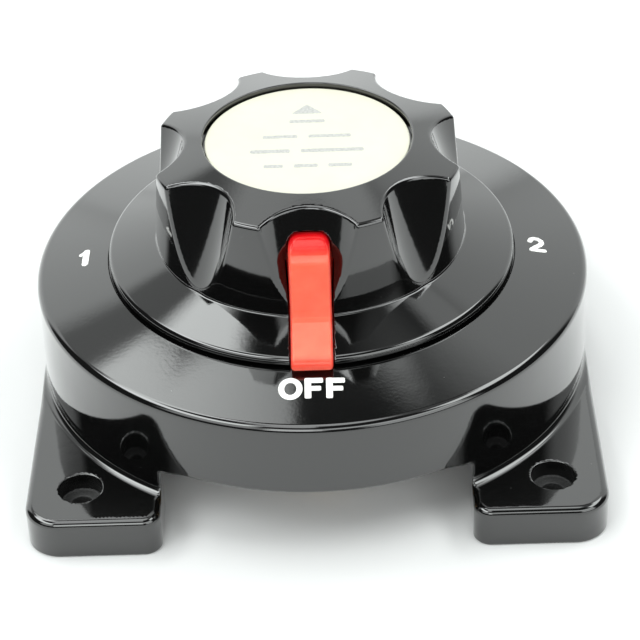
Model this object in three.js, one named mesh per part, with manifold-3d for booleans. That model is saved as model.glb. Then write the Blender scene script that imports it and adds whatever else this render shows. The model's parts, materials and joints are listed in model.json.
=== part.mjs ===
// Four-position marine battery selector switch, surface mounted.
// Millimetres, +Z up, origin at the centre of the underside of the mounting flanges.
// The front (the OFF position) faces -Y, position 1 is at -X, position 2 at +X.
import * as THREE from 'three';
import { mergeVertices } from 'three/addons/utils/BufferGeometryUtils.js';
import Module from 'manifold-3d';

// ---------------------------------------------------------------- dimensions
const GAP = 0.3;              // clearance kept between touching pieces

// mounting flanges: one down each side, their ends are the four corner feet
const FOOT_OUT = 67.0;        // half of the 134 mm square footprint
const FOOT_IN = 35.3;         // half of the cable gaps at the front and back
const FOOT_T = 10.1;          // flange thickness
const FOOT_R_OUT = 8.0;       // plan radius of the outermost corner
const FOOT_R_END = 4.0;       // plan radius of the corners next to a gap
const HOLE_XY = 54.55;        // mounting hole centres, a 109.1 mm square
const HOLE_R = 2.6;           // clearance for a number 10 screw
const CBORE_R = 5.0;
const CBORE_DEPTH = 4.5;

// drum
const GAP_TOP = 17.2;         // lower edge of the drum wall over a cable gap
const SPLIT_Z = 17.2;         // level that divides the case moulding from its flanges
const DRUM_R_BASE = 67.0;
const DRUM_R_TOP = 66.85;
const DRUM_Z_TOP = 34.0;
const FLARE_R = 68.8;         // fillet where the drum meets the flanges
const RING_R_OUT = 65.4;
const RING_Z_OUT = 35.7;
const RING_Z_IN = 38.6;
const RING_R_IN = 49.4;
const DECK_Z = 38.3;          // case top under the knob
const POCKET_R = 61.8;        // pocket for the terminal board, open below
const CHAMBER_R = 58.0;       // chamber that holds the mechanism
const LEDGE_Z = 23.8;
const CEIL_Z = 33.5;          // underside of the top wall over the mechanism

// terminal board
const BOARD_R = 61.5, BOARD_Z0 = 17.5, BOARD_Z1 = 22.5;
const BSCREW_R = 52.0;        // pitch radius of the four board screws

// studs and contacts
const STUD_R = 4.7;           // 3/8 in thread
const STUD_PITCH = 37.0;
const STUD_Z0 = 1.5;
const PLATE_Z0 = 22.8, PLATE_Z1 = 24.8;
const ARC_IN = 19.0, ARC_OUT = 29.0;
const BRIDGE_Z0 = 25.1, BRIDGE_Z1 = 27.6;
const ROTOR_Z0 = 27.9, ROTOR_Z1 = 33.0, ROTOR_R = 24.0;

// shaft
const SHAFT_R = 5.0;
const SHAFT_Z0 = 19.5, SHAFT_Z1 = 60.0;

// knob
const SKIRT_R = 48.9, SKIRT_Z0 = 38.8, SKIRT_Z_EDGE = 41.1;
const GRIP_R_BASE = 37.25, GRIP_Z_BASE = 44.4;
const GRIP_R_TOP = 36.95, GRIP_Z_TOP = 67.7;
const RIM_R = 24.85, RIM_Z = 70.04;
const RECESS_Z = 67.7;
const SCALLOPS = 8, SCALLOP_R = 13.8;
const SCALLOP_AXIS_TOP = 43.4, SCALLOP_AXIS_BASE = 51.2;
const HUB_R = 11.5, HOLLOW_R = 24.0, HOLLOW_Z = 61.5;

// pointer
const PTR_HALF = 4.75, PTR_FLANGE_HALF = 6.2;

// detent
const DET_R = 35.5, BALL_R = 3.0, BALL_Z = 35.5, DET_TRAVEL = 1.2;
const DET_BORE_R = 3.3, DET_BORE_Z = 27.2;

// ------------------------------------------------------------------- helpers
const wasm = await Module();
wasm.setup();

function solid(geometry) {
  let g = geometry.clone();
  g.deleteAttribute('normal');
  g.deleteAttribute('uv');
  g = mergeVertices(g, 1e-4);
  const p = g.attributes.position;
  const out = new Float32Array(p.array);
  const index = [];
  const src = g.index.array;
  for (let i = 0; i < src.length; i += 3) {
    const [a, b, c] = [src[i], src[i + 1], src[i + 2]];
    if (a !== b && b !== c && a !== c) index.push(a, b, c);
  }
  return new wasm.Manifold(new wasm.Mesh({ numProp: 3, vertProperties: out, triVerts: new Uint32Array(index) }));
}
function toGeometry(man) {
  const m = man.getMesh();
  const g = new THREE.BufferGeometry();
  const pos = new Float32Array((m.vertProperties.length / m.numProp) * 3);
  for (let i = 0, j = 0; i < m.vertProperties.length; i += m.numProp) {
    pos[j++] = m.vertProperties[i]; pos[j++] = m.vertProperties[i + 1]; pos[j++] = m.vertProperties[i + 2];
  }
  g.setAttribute('position', new THREE.BufferAttribute(pos, 3));
  g.setIndex(new THREE.BufferAttribute(new Uint32Array(m.triVerts), 1));
  return g;
}
// profile: list of [r, z]; a lathe about +Z
function lathe(profile, segments = 48) {
  const pts = profile.map(([r, z]) => new THREE.Vector2(r, z));
  const g = new THREE.LatheGeometry(pts, segments);
  g.rotateX(Math.PI / 2);
  return orient(g);
}
// a profile that doesn't touch the axis is closed on itself
function ring(profile, segments = 48) {
  return lathe([...profile, profile[0]], segments);
}
function signedVolume(g) {
  const p = g.attributes.position, ix = g.index ? g.index.array : null;
  const n = ix ? ix.length : p.count;
  let v = 0;
  const a = new THREE.Vector3(), b = new THREE.Vector3(), c = new THREE.Vector3();
  for (let i = 0; i < n; i += 3) {
    const [i0, i1, i2] = ix ? [ix[i], ix[i + 1], ix[i + 2]] : [i, i + 1, i + 2];
    a.fromBufferAttribute(p, i0); b.fromBufferAttribute(p, i1); c.fromBufferAttribute(p, i2);
    v += a.dot(b.cross(c)) / 6;
  }
  return v;
}
function orient(g) {
  if (signedVolume(g) >= 0) return g;
  if (g.index) {
    const ix = g.index.array;
    for (let i = 0; i < ix.length; i += 3) { const t = ix[i + 1]; ix[i + 1] = ix[i + 2]; ix[i + 2] = t; }
    return g;
  }
  const n = g.attributes.position.count, ix = [];
  for (let i = 0; i < n; i += 3) ix.push(i, i + 2, i + 1);
  g.setIndex(ix);
  return g;
}
function cyl(r, z0, z1, x = 0, y = 0, segments = 20) {
  const g = new THREE.CylinderGeometry(r, r, z1 - z0, segments);
  g.rotateX(Math.PI / 2);
  g.translate(x, y, (z0 + z1) / 2);
  return solid(g);
}
function box(x0, x1, y0, y1, z0, z1) {
  const g = new THREE.BoxGeometry(x1 - x0, y1 - y0, z1 - z0);
  g.translate((x0 + x1) / 2, (y0 + y1) / 2, (z0 + z1) / 2);
  return solid(g);
}
function extrude(shape, z0, z1, curveSegments = 12) {
  const g = new THREE.ExtrudeGeometry(shape, { depth: z1 - z0, bevelEnabled: false, curveSegments });
  g.translate(0, 0, z0);
  return g;
}
function polygon(points) {
  return new THREE.Shape(points.map(([x, y]) => new THREE.Vector2(x, y)));
}
function roundedRect(x0, x1, y0, y1, radii) { // radii: [x0y0, x1y0, x1y1, x0y1]
  const s = new THREE.Shape();
  const [a, b, c, d] = radii;
  s.moveTo(x0 + a, y0);
  s.lineTo(x1 - b, y0); s.absarc(x1 - b, y0 + b, b, -Math.PI / 2, 0, false);
  s.lineTo(x1, y1 - c); s.absarc(x1 - c, y1 - c, c, 0, Math.PI / 2, false);
  s.lineTo(x0 + d, y1); s.absarc(x0 + d, y1 - d, d, Math.PI / 2, Math.PI, false);
  s.lineTo(x0, y0 + a); s.absarc(x0 + a, y0 + a, a, Math.PI, 1.5 * Math.PI, false);
  return s;
}
function sector(r0, r1, a0, a1, steps = 16) { // ring sector outline, degrees
  const pts = [];
  for (let i = 0; i <= steps; i++) {
    const a = THREE.MathUtils.degToRad(a0 + (a1 - a0) * i / steps);
    pts.push([r1 * Math.cos(a), r1 * Math.sin(a)]);
  }
  for (let i = steps; i >= 0; i--) {
    const a = THREE.MathUtils.degToRad(a0 + (a1 - a0) * i / steps);
    pts.push([r0 * Math.cos(a), r0 * Math.sin(a)]);
  }
  return polygon(pts);
}
function turned(man, degrees) { return man.rotate([0, 0, degrees]); }
function moved(man, x, y, z) { return man.translate([x, y, z]); }
function hexPrism(acrossFlats, z0, z1, chamfer = 0.6) {
  const r = acrossFlats / Math.sqrt(3);
  const pts = [];
  for (let i = 0; i < 6; i++) pts.push([r * Math.cos(i * Math.PI / 3), r * Math.sin(i * Math.PI / 3)]);
  const hex = solid(extrude(polygon(pts), z0, z1));
  // chamfered corners on the outer face only
  const a = acrossFlats / 2;
  const k = r - a + 0.3;
  const cone = solid(lathe([[0, z0], [a, z0], [a + k, z0 + chamfer + 0.2], [a + k, z1 + 1], [0, z1 + 1]], 12));
  return hex.intersect(cone.rotate([0, 0, 15]));
}
class Helix extends THREE.Curve {
  constructor(radius, z0, z1, turns, x, y) {
    super();
    Object.assign(this, { radius, z0, z1, turns, x, y });
  }
  getPoint(t, target = new THREE.Vector3()) {
    const a = t * this.turns * 2 * Math.PI;
    return target.set(this.x + this.radius * Math.cos(a), this.y + this.radius * Math.sin(a), this.z0 + (this.z1 - this.z0) * t);
  }
}
function spring(radius, wire, z0, z1, turns, x = 0, y = 0) {
  const s = new THREE.Shape();
  const n = 6;
  for (let i = 0; i <= n; i++) {
    const a = i * 2 * Math.PI / n;
    if (i === 0) s.moveTo(wire * Math.cos(a), wire * Math.sin(a));
    else if (i < n) s.lineTo(wire * Math.cos(a), wire * Math.sin(a));
  }
  const g = new THREE.ExtrudeGeometry(s, {
    steps: Math.round(turns * 11), bevelEnabled: false,
    extrudePath: new Helix(radius, z0 + wire, z1 - wire, turns, x, y),
  });
  return g;
}

const MAT = {
  phenolic: new THREE.MeshStandardMaterial({ color: 0x0b0b0c, roughness: 0.16, metalness: 0 }),
  red: new THREE.MeshStandardMaterial({ color: 0xd8201a, roughness: 0.28, metalness: 0 }),
  ivory: new THREE.MeshStandardMaterial({ color: 0xf2efdc, roughness: 0.6, metalness: 0 }),
  laminate: new THREE.MeshStandardMaterial({ color: 0x3a2a1e, roughness: 0.5, metalness: 0 }),
  brass: new THREE.MeshStandardMaterial({ color: 0xc9a04e, roughness: 0.35, metalness: 1 }),
  copper: new THREE.MeshStandardMaterial({ color: 0xb87350, roughness: 0.35, metalness: 1 }),
  steel: new THREE.MeshStandardMaterial({ color: 0xb9bcc0, roughness: 0.3, metalness: 1 }),
  rubber: new THREE.MeshStandardMaterial({ color: 0x161616, roughness: 0.8, metalness: 0 }),
};
const root = new THREE.Group();
function add(name, shape, material, parent = root) {
  const geometry = shape instanceof THREE.BufferGeometry ? shape : toGeometry(shape);
  geometry.computeVertexNormals();
  const mesh = new THREE.Mesh(geometry, material);
  mesh.name = name;
  parent.add(mesh);
  return mesh;
}

// ---------------------------------------------------------------------- case
{
  // drum and sloping ring, turned about the switch axis
  const drum = solid(lathe([
    [0, 0], [FLARE_R, 0], [FLARE_R, FOOT_T], [DRUM_R_BASE + 0.35, FOOT_T + 0.6], [DRUM_R_BASE, FOOT_T + 1.9],
    [DRUM_R_TOP, DRUM_Z_TOP], [DRUM_R_TOP - 0.55, RING_Z_OUT - 0.7], [RING_R_OUT, RING_Z_OUT],
    [RING_R_IN, RING_Z_IN], [RING_R_IN - 0.2, DECK_Z], [0, DECK_Z],
  ], 60));
  let body = drum;
  // the drum wall is open below at the front and back, where the cables come in
  body = body.subtract(box(-FOOT_IN, FOOT_IN, -80, 80, -1, GAP_TOP));
  body = body.intersect(solid(extrude(roundedRect(-FOOT_OUT, FOOT_OUT, -FOOT_OUT, FOOT_OUT, [8, 8, 8, 8]), -1, 60, 6)));
  // a mounting flange down each side: its corners are the four feet
  for (const sx of [1, -1]) {
    const x0 = sx > 0 ? FOOT_IN : -FOOT_OUT, x1 = sx > 0 ? FOOT_OUT : -FOOT_IN;
    const inner = FOOT_R_END, outer = FOOT_R_OUT, c = 1.0;
    const radii = sx > 0 ? [inner, outer, outer, inner] : [outer, inner, inner, outer];
    const low = extrude(roundedRect(x0, x1, -FOOT_OUT, FOOT_OUT, radii), 0, FOOT_T - c, 4);
    const top = extrude(roundedRect(x0 + c, x1 - c, -FOOT_OUT + c, FOOT_OUT - c, radii.map((r) => r - c)), FOOT_T - c - 0.5, FOOT_T, 4);
    body = body.add(solid(low)).add(solid(top));
  }

  // pocket for the board, then the chamber over it
  body = body.subtract(solid(lathe([[0, -1], [POCKET_R, -1], [POCKET_R, LEDGE_Z], [CHAMBER_R, LEDGE_Z], [CHAMBER_R, CEIL_Z], [0, CEIL_Z]], 48)));
  for (let i = 0; i < 8; i++) { // stiffening ribs under the top
    body = body.add(turned(box(32, CHAMBER_R + 1, -1.2, 1.2, 29.2, CEIL_Z + 1), 22.5 + 45 * i));
  }
  // bosses for the board screws
  for (let i = 0; i < 4; i++) {
    const a = THREE.MathUtils.degToRad(45 + 90 * i);
    const x = BSCREW_R * Math.cos(a), y = BSCREW_R * Math.sin(a);
    body = body.add(cyl(4.6, LEDGE_Z, CEIL_Z + 1, x, y, 14));
    body = body.add(turned(box(BSCREW_R, CHAMBER_R + 1, -2.2, 2.2, LEDGE_Z, CEIL_Z + 1), 45 + 90 * i));
    body = body.subtract(cyl(2.2, LEDGE_Z - 1, 32, x, y, 12));
  }
  // detent boss at the back with its bore, open at the deck
  body = body.add(cyl(5.4, 25.2, CEIL_Z + 1, 0, DET_R, 18));
  body = body.add(box(-1.6, 1.6, DET_R, CHAMBER_R + 1, 27.0, CEIL_Z + 1));
  body = body.subtract(cyl(DET_BORE_R, DET_BORE_Z, DECK_Z + 1, 0, DET_R, 18));
  // shaft opening
  body = body.subtract(cyl(8.3, CEIL_Z - 4, DECK_Z + 1, 0, 0, 28));
  // mounting holes with counterbores
  for (const x of [-HOLE_XY, HOLE_XY]) for (const y of [-HOLE_XY, HOLE_XY]) {
    body = body.subtract(cyl(HOLE_R, -1, FOOT_T + 1, x, y, 14));
    body = body.subtract(cyl(CBORE_R, FOOT_T - CBORE_DEPTH, FOOT_T + 1, x, y, 20));
  }
  // one moulding in the real switch; divided here into the drum and the two flanges
  // with the wall that stands on them, so each is a simple shape beside the cable gaps
  add('case', body.intersect(box(-80, 80, -80, 80, SPLIT_Z + GAP / 2, 60)), MAT.phenolic);
  add('flange_left', body.intersect(box(-80, 0, -80, 80, -1, SPLIT_Z - GAP / 2)), MAT.phenolic);
  add('flange_right', body.intersect(box(0, 80, -80, 80, -1, SPLIT_Z - GAP / 2)), MAT.phenolic);
}

// ------------------------------------------------------------ terminal board
const studAngles = { '1': 180, '2': 0, common: 270 };
const studAt = (k) => {
  const a = THREE.MathUtils.degToRad(studAngles[k]);
  return [Math.round(STUD_PITCH * Math.cos(a) * 1e6) / 1e6, Math.round(STUD_PITCH * Math.sin(a) * 1e6) / 1e6];
};
{
  let board = solid(lathe([[0, BOARD_Z0], [BOARD_R - 0.5, BOARD_Z0], [BOARD_R, BOARD_Z0 + 0.5], [BOARD_R, BOARD_Z1], [0, BOARD_Z1]], 44));
  for (const k of Object.keys(studAngles)) {
    const [x, y] = studAt(k);
    board = board.subtract(cyl(STUD_R + 0.4, BOARD_Z0 - 1, BOARD_Z1 + 1, x, y, 20));
  }
  for (let i = 0; i < 4; i++) {
    const a = THREE.MathUtils.degToRad(45 + 90 * i);
    board = board.subtract(cyl(2.3, BOARD_Z0 - 1, BOARD_Z1 + 1, BSCREW_R * Math.cos(a), BSCREW_R * Math.sin(a), 12));
  }
  board = board.subtract(cyl(4.8, 18.8, BOARD_Z1 + 1, 0, 0, 20)); // blind pivot for the shaft
  add('terminal_board', board, MAT.laminate);

  const gasket = solid(ring([[CHAMBER_R + 0.2, BOARD_Z1 + GAP], [BOARD_R, BOARD_Z1 + GAP], [BOARD_R, LEDGE_Z - GAP], [CHAMBER_R + 0.2, LEDGE_Z - GAP]], 44));
  add('board_gasket', gasket, MAT.rubber);

  for (let i = 0; i < 4; i++) { // pan-head screws driven up from below
    const a = THREE.MathUtils.degToRad(45 + 90 * i);
    let s = solid(lathe([[0, 15.0], [2.6, 15.0], [3.4, 15.7], [3.6, 17.2], [1.9, 17.2], [1.9, 30.0], [1.2, 31.2], [0, 31.2]], 14));
    s = s.subtract(box(-0.45, 0.45, -2.0, 2.0, 14.5, 16.3)).subtract(box(-2.0, 2.0, -0.45, 0.45, 14.5, 16.3));
    add(`board_screw_${i + 1}`, moved(s, BSCREW_R * Math.cos(a), BSCREW_R * Math.sin(a), 0), MAT.steel);
  }
}

// ------------------------------------------- studs and the hardware on them
for (const k of Object.keys(studAngles)) {
  const [x, y] = studAt(k);
  const stud = solid(lathe([[0, STUD_Z0], [STUD_R - 0.7, STUD_Z0], [STUD_R, STUD_Z0 + 0.7], [STUD_R, PLATE_Z1 + GAP],
    [7.2, PLATE_Z1 + GAP], [7.2, 27.4], [6.2, 28.4], [0, 28.4]], 16));
  add(`terminal_stud_${k}`, moved(stud, x, y, 0), MAT.copper);
  const bore = STUD_R + GAP;
  add(`clamp_nut_${k}`, moved(turned(hexPrism(14.3, 14.2, 17.2).subtract(cyl(bore, 12, 19, 0, 0, 14)), 10), x, y, 0), MAT.brass);
  add(`flat_washer_${k}`, moved(solid(ring([[bore + 0.1, 10.5], [9.6, 10.5], [9.6, 11.7], [bore + 0.1, 11.7]], 20)), x, y, 0), MAT.steel);
  let lock = solid(ring([[bore + 0.1, 8.4], [8.2, 8.4], [8.2, 10.2], [bore + 0.1, 10.2]], 20));
  const cut = moved(turned(solid(new THREE.BoxGeometry(12, 1.2, 8)).rotate([0, 0, 0]).rotate([35, 0, 0]), 0), 10, 0, 9.3);
  lock = lock.subtract(turned(cut, 60));
  add(`lock_washer_${k}`, moved(lock, x, y, 0), MAT.steel);
  add(`terminal_nut_${k}`, moved(turned(hexPrism(14.3, 2.6, 8.1, 0.8).subtract(cyl(bore, 1, 11, 0, 0, 14)), 22), x, y, 0), MAT.brass);
}

// ------------------------------------------------------------ fixed contacts
{
  const hole = (k) => { const [x, y] = studAt(k); return cyl(STUD_R + GAP, PLATE_Z0 - 1, PLATE_Z1 + 1, x, y, 20); };
  const tab = (k) => {
    const [x, y] = studAt(k);
    return cyl(8.0, PLATE_Z0, PLATE_Z1, x, y, 20);
  };
  const p1 = solid(extrude(sector(ARC_IN, ARC_OUT, 97, 195, 12), PLATE_Z0, PLATE_Z1))
    .add(box(-STUD_PITCH, -(ARC_IN + 4), -5.5, 5.5, PLATE_Z0, PLATE_Z1)).add(tab('1')).subtract(hole('1'));
  add('contact_plate_1', p1, MAT.copper);
  const p2 = solid(extrude(sector(ARC_IN, ARC_OUT, -15, 83, 12), PLATE_Z0, PLATE_Z1))
    .add(box(ARC_IN + 4, STUD_PITCH, -5.5, 5.5, PLATE_Z0, PLATE_Z1)).add(tab('2')).subtract(hole('2'));
  add('contact_plate_2', p2, MAT.copper);
  const pc = cyl(14.5, PLATE_Z0, PLATE_Z1, 0, 0, 32)
    .add(box(-6, 6, -STUD_PITCH, -10, PLATE_Z0, PLATE_Z1)).add(tab('common'))
    .subtract(hole('common')).subtract(cyl(8.0, PLATE_Z0 - 1, PLATE_Z1 + 1, 0, 0, 24));
  add('contact_plate_common', pc, MAT.copper);
}

// ------------------------------------------------- detent ball and its spring
{
  const ball = new THREE.SphereGeometry(BALL_R, 14, 10);
  ball.translate(0, DET_R, BALL_Z);
  add('detent_ball', solid(ball), MAT.steel);
  add('detent_spring', solid(orient(spring(2.2, 0.42, DET_BORE_Z + GAP, BALL_Z - BALL_R + 0.15, 3.5, 0, DET_R))), MAT.steel);
}

// ------------------------------------------------------- bushing and its seal
add('shaft_bushing', solid(ring([[SHAFT_R + GAP, 33.6], [8.0, 33.6], [8.0, 35.4], [SHAFT_R + GAP, 35.4]], 24)), MAT.brass);
{
  const t = new THREE.TorusGeometry(6.65, 1.15, 8, 24);
  t.translate(0, 0, 36.9);
  add('shaft_oring', solid(orient(t)), MAT.rubber);
}

// ----------------------------------------------------- everything that turns
const selector = new THREE.Group();
root.add(selector);

// knob: skirt, fluted grip, recess for the label, hub
{
  let grip = solid(lathe([[0, 42.5], [GRIP_R_BASE, 42.5], [GRIP_R_BASE, GRIP_Z_BASE], [GRIP_R_TOP + 0.05, GRIP_Z_TOP - 0.8],
    [GRIP_R_TOP - 1.0, GRIP_Z_TOP + 0.2], [RIM_R + 0.5, RIM_Z - 0.05], [RIM_R, RIM_Z], [0, RIM_Z]], 48));
  const lean = (SCALLOP_AXIS_BASE - SCALLOP_AXIS_TOP) / (GRIP_Z_TOP - GRIP_Z_BASE);
  const sheared = new THREE.Matrix4().set(1, 0, -lean, SCALLOP_AXIS_TOP + lean * GRIP_Z_TOP, 0, 1, 0, 0, 0, 0, 1, 0, 0, 0, 0, 1);
  for (let i = 0; i < SCALLOPS; i++) {
    const g = new THREE.CylinderGeometry(SCALLOP_R, SCALLOP_R, 60, 26);
    g.rotateX(Math.PI / 2);
    g.translate(0, 0, (GRIP_Z_TOP + GRIP_Z_BASE) / 2);
    g.applyMatrix4(sheared);
    grip = grip.subtract(turned(solid(g), 270 + i * 360 / SCALLOPS));
  }
  let knob = solid(lathe([[0, SKIRT_Z0], [SKIRT_R - 0.5, SKIRT_Z0], [SKIRT_R, SKIRT_Z0 + 0.5], [SKIRT_R, SKIRT_Z_EDGE - 0.7], [SKIRT_R - 0.7, SKIRT_Z_EDGE],
    [GRIP_R_BASE + 0.2, GRIP_Z_BASE - 0.1], [GRIP_R_BASE - 1.5, GRIP_Z_BASE + 0.2], [0, GRIP_Z_BASE + 0.2]], 48)).add(grip);
  // label recess and screw counterbore
  knob = knob.subtract(cyl(RIM_R - 0.15, RECESS_Z, RIM_Z + 1, 0, 0, 48));
  knob = knob.subtract(cyl(6.3, 62.9, RIM_Z, 0, 0, 24));
  // hollow round the hub, with four webs
  let hollow = solid(ring([[HUB_R, SKIRT_Z0 - 1], [HOLLOW_R + 1.5, SKIRT_Z0 - 1], [HOLLOW_R, HOLLOW_Z], [HUB_R + 0.5, HOLLOW_Z]], 28));
  for (let i = 0; i < 4; i++) hollow = hollow.subtract(turned(box(0, 40, -1.5, 1.5, SKIRT_Z0 + 1.2, 80), 45 + 90 * i));
  knob = knob.subtract(hollow);
  // double-D bore for the shaft, clearance hole for the screw
  const dd = cyl(SHAFT_R + GAP, 45.5, 60.4, 0, 0, 20).intersect(box(-4.3, 4.3, -9, 9, 40, 70)).add(cyl(SHAFT_R + GAP, SKIRT_Z0 - 1, 46.4, 0, 0, 20));
  knob = knob.subtract(dd).subtract(cyl(2.8, 59, 64, 0, 0, 14));
  // four detent dimples in the underside
  for (let i = 0; i < 4; i++) {
    const s = new THREE.SphereGeometry(BALL_R + GAP, 12, 8);
    s.translate(0, DET_R, BALL_Z + DET_TRAVEL);
    knob = knob.subtract(turned(solid(s), 90 * i));
  }
  // pocket for the pointer: a channel down the front flute and a slot in the skirt
  const pocket = solid(pointerBody(PTR_HALF + GAP, PTR_FLANGE_HALF + GAP, GAP));
  knob = knob.subtract(pocket).subtract(pointerSpine(PTR_HALF + GAP, GAP));
  add('knob', knob, MAT.phenolic, selector);
}
// side outline of the pointer in (depth, z), turned so that depth runs to -Y
function yz(points, half) {
  const g = new THREE.ExtrudeGeometry(polygon(points), { depth: 2 * half, bevelEnabled: false });
  g.translate(0, 0, -half);
  // shape x -> -Y, shape y -> +Z, depth -> X
  const m = new THREE.Matrix4().set(0, 0, 1, 0, -1, 0, 0, 0, 0, 1, 0, 0, 0, 0, 0, 1);
  g.applyMatrix4(m);
  return orient(g);
}
function pointerBody(half, flangeHalf, grow) { // the flange that sits in the slot
  const o = grow;
  return yz([[30.5 - o, 40.9 - o], [41.0 - o, 40.9 - o], [41.0 - o, 40.2 - o], [47.6 + o, 40.2 - o], [47.6 + o, 41.0 + o], [38.6 + o, 45.0 + o], [34.6 + o, 58.5 + o], [30.5 - o, 58.5 + o]], flangeHalf);
}
function pointerSpine(half, grow) { // the raised bar
  const o = grow;
  const out = [[29.5 - o, 40.9 - o], [41.0 - o, 40.9 - o], [41.0 - o, 39.5 - o], [50.9 + o, 39.5 - o], [50.9 + o, 40.6 + o], [50.2 + o, 41.3 + o], [40.3 + o, 46.3 + o], [36.0 + o, 60.2 + o],
    [35.0 + o, 61.8 + o], [33.2 + o, 63.2 + o], [31.0 + o, 63.8 + o], [29.5 - o, 63.8 + o]];
  return solid(yz(out, half));
}
add('pointer_insert', solid(pointerBody(PTR_HALF, PTR_FLANGE_HALF, 0)).add(pointerSpine(PTR_HALF, 0)), MAT.red, selector);
add('label_disc', cyl(24.2, 68.0, 68.8, 0, 0, 40), MAT.ivory, selector);
{
  let s = solid(lathe([[0, 52], [1.5, 52], [2.2, 52.8], [2.2, 64.5], [4.6, 64.5], [4.6, 65.9], [3.6, 67.1], [0, 67.4]], 18));
  s = s.subtract(box(-3.0, 3.0, -0.5, 0.5, 66.0, 68)).subtract(box(-0.5, 0.5, -3.0, 3.0, 66.0, 68));
  add('knob_screw', s, MAT.steel, selector);
  add('knob_washer', solid(ring([[2.5, 63.2], [5.8, 63.2], [5.8, 64.2], [2.5, 64.2]], 20)), MAT.steel, selector);
}
{
  // shaft: pivot, clip groove, square drive, journal, double-D end, tapped hole
  let shaft = solid(lathe([[0, SHAFT_Z0], [3.9, SHAFT_Z0], [4.4, SHAFT_Z0 + 0.5], [4.4, 26.3], [3.5, 26.3], [3.5, 27.9], [SHAFT_R, 27.9],
    [SHAFT_R, SHAFT_Z1 - 0.6], [SHAFT_R - 0.6, SHAFT_Z1], [0, SHAFT_Z1]], 18));
  const square = box(-3.8, 3.8, -3.8, 3.8, 27.9, 33.0);
  shaft = shaft.subtract(cyl(9, 27.9, 33.0, 0, 0, 12).subtract(square));
  shaft = shaft.subtract(box(4.0, 9, -9, 9, 46.0, 70)).subtract(box(-9, -4.0, -9, 9, 46.0, 70));
  shaft = shaft.subtract(cyl(2.5, 50, 70, 0, 0, 14));
  add('shaft', shaft, MAT.brass, selector);
}
{
  // rotor: insulating carrier with a square bore, cheeks either side of the bridge, spring pockets
  let rotor = cyl(ROTOR_R, ROTOR_Z0, ROTOR_Z1, 0, 0, 28).add(box(-10, 10, -29, 0, ROTOR_Z0, ROTOR_Z1 - 1.5));
  rotor = rotor.add(box(-10.0, -7.4, -28, -12, 25.5, ROTOR_Z0 + 1)).add(box(7.4, 10.0, -28, -12, 25.5, ROTOR_Z0 + 1));
  rotor = rotor.subtract(box(-4.1, 4.1, -4.1, 4.1, ROTOR_Z0 - 1, ROTOR_Z1 + 1));
  rotor = rotor.subtract(cyl(3.2, ROTOR_Z0 - 1, 31.2, 0, -22, 16)).subtract(cyl(3.2, ROTOR_Z0 - 1, 31.2, 0, 11, 16));
  add('rotor', rotor, MAT.laminate, selector);
  // copper bridge under the rotor, pressed down by two springs
  let bridge = box(-7, 7, -29, 0, BRIDGE_Z0, BRIDGE_Z1).add(cyl(14, BRIDGE_Z0, BRIDGE_Z1, 0, 0, 28));
  bridge = bridge.subtract(cyl(6.6, BRIDGE_Z0 - 1, BRIDGE_Z1 + 1, 0, 0, 20));
  add('moving_contact', bridge, MAT.copper, selector);
  add('contact_spring_outer', solid(orient(spring(2.3, 0.45, BRIDGE_Z1 + 0.15, 31.0, 2.5, 0, -22))), MAT.steel, selector);
  add('contact_spring_inner', solid(orient(spring(2.3, 0.45, BRIDGE_Z1 + 0.15, 31.0, 2.5, 0, 11))), MAT.steel, selector);
  // retaining clip under the rotor, open on one side
  const clip = solid(extrude(sector(3.8, 6.1, -60, 240, 16), 26.6, 27.6));
  add('retaining_clip', clip, MAT.steel, selector);
}

export default root;
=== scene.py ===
import json
import math

import bpy
import numpy as np
from mathutils import Matrix, Vector


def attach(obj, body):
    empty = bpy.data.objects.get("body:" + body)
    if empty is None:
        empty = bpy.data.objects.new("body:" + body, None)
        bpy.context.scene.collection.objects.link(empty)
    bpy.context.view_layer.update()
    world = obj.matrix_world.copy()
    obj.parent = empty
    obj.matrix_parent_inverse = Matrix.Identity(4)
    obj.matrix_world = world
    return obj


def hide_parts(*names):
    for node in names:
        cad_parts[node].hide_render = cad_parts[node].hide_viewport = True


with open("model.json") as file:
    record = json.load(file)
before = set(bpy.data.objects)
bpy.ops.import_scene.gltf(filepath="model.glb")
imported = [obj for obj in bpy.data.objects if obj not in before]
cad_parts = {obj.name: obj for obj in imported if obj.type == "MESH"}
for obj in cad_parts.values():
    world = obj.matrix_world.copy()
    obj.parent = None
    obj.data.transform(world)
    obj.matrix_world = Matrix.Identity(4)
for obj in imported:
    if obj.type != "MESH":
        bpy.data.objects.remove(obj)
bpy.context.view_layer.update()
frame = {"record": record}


scene = bpy.context.scene
MM = 0.001

# ----------------------------------------------------------------- camera
# seen from the front and above, the optical axis a little off the middle
D, ELEV, FOCAL = 540.365, 34.514, 2213.12
YAW, ROLL, TX, TY = 0.958, 2.226, -5.846, -61.685


def camera_axes():
    a, e, r = math.radians(YAW), math.radians(ELEV), math.radians(ROLL)
    ax, ay = math.atan2(TX, FOCAL), math.atan2(TY, FOCAL)
    back = np.array([math.sin(a) * math.cos(e), -math.cos(a) * math.cos(e), math.sin(e)])
    right = np.array([math.cos(a), math.sin(a), 0.0])
    up = np.cross(back, right)
    ahead = -back
    place = back * D + np.array([0, 0, 35.0])
    r1 = right * math.cos(ax) + ahead * math.sin(ax)
    f1 = -right * math.sin(ax) + ahead * math.cos(ax)
    u1 = up * math.cos(ay) - f1 * math.sin(ay)
    f2 = up * math.sin(ay) + f1 * math.cos(ay)
    return r1 * math.cos(r) - u1 * math.sin(r), r1 * math.sin(r) + u1 * math.cos(r), f2, place


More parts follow.
